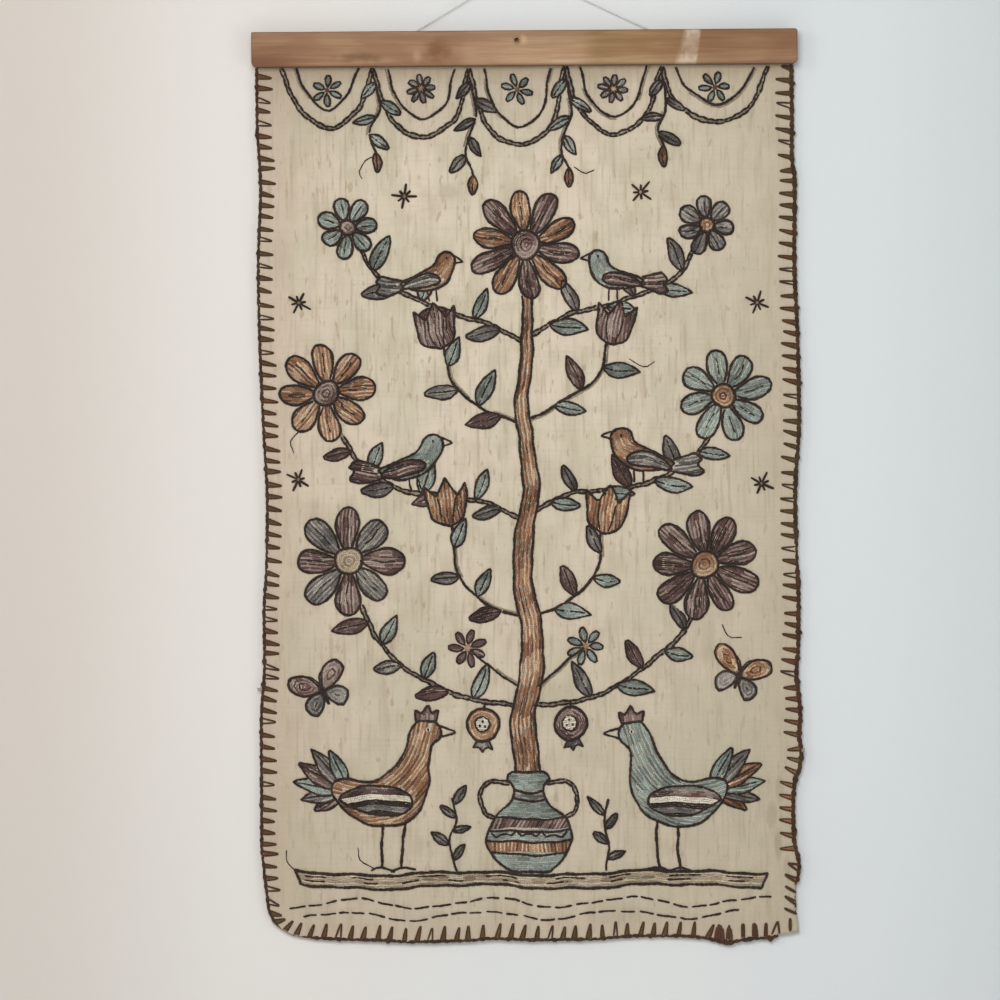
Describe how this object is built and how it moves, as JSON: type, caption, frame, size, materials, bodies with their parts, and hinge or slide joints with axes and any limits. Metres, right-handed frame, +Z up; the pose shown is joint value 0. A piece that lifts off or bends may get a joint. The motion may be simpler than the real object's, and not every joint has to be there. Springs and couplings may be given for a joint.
{
  "type": "arpillera textile on a wooden batten",
  "caption": "Embroidered cloth wall hanging with a blanket-stitched rim, held by a flat wooden batten that hangs by a thin cord over a nail.",
  "frame": {"origin": "where the nail's axis meets the wall, with the wall's face as the plane Y = 0", "axes": "+Z up, front face towards -Y, X along the batten"},
  "size_m": [0.5244, 0.019, 0.9372],
  "materials": {
    "wood": "bare weathered softwood with straight grain",
    "cloth": "coarse unbleached plain weave, matt",
    "yarn": "matt spun wool yarn",
    "steel": "dull bare steel",
    "cord": "thin twisted cord, matt",
    "thread_dark": "matt dark brown embroidery wool",
    "thread_blue_grey": "matt blue-grey embroidery wool",
    "thread_rust": "matt rust-brown embroidery wool",
    "thread_plum": "matt plum embroidery wool",
    "thread_pale": "matt cream and tan embroidery wool"
  },
  "bodies": {
    "root": {"batten": "wood", "cloth": "cloth", "edging_left": "yarn", "edging_right": "yarn", "nail": "steel", "cord": "cord", "tack_left": "steel", "tack_right": "steel", "hitch_left": "cord", "hitch_right": "cord"}
  },
  "joints": []
}
